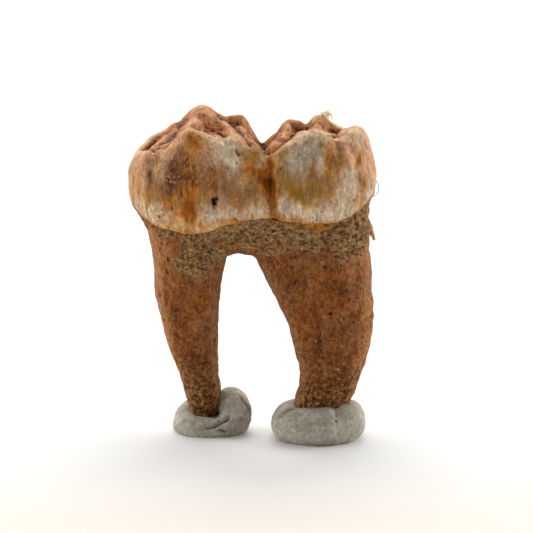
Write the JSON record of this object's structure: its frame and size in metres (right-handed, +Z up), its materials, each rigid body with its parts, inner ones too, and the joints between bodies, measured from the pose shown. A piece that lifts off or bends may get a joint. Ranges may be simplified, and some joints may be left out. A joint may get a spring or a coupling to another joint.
{
  "type": "fossil cave bear molar",
  "caption": "Fossil bear cheek tooth with a worn, folded crown on spreading brown roots, standing upright in soft lumps of grey putty, for display or study.",
  "frame": {"origin": "on the surface under the putty, below the middle of the crown", "axes": "+Z up, +X along the crown towards its rear end, -Y towards the cheek side, which the picture shows"},
  "size_m": [0.0304, 0.0171, 0.0412],
  "materials": {
    "tooth": "stained fossil enamel with a dull gloss over matt red-brown root dentine",
    "putty": "matt grey mounting putty, finely grained"
  },
  "bodies": {
    "root": {"molar": "tooth", "putty_foot_left": "putty", "putty_foot_right": "putty"}
  },
  "joints": []
}
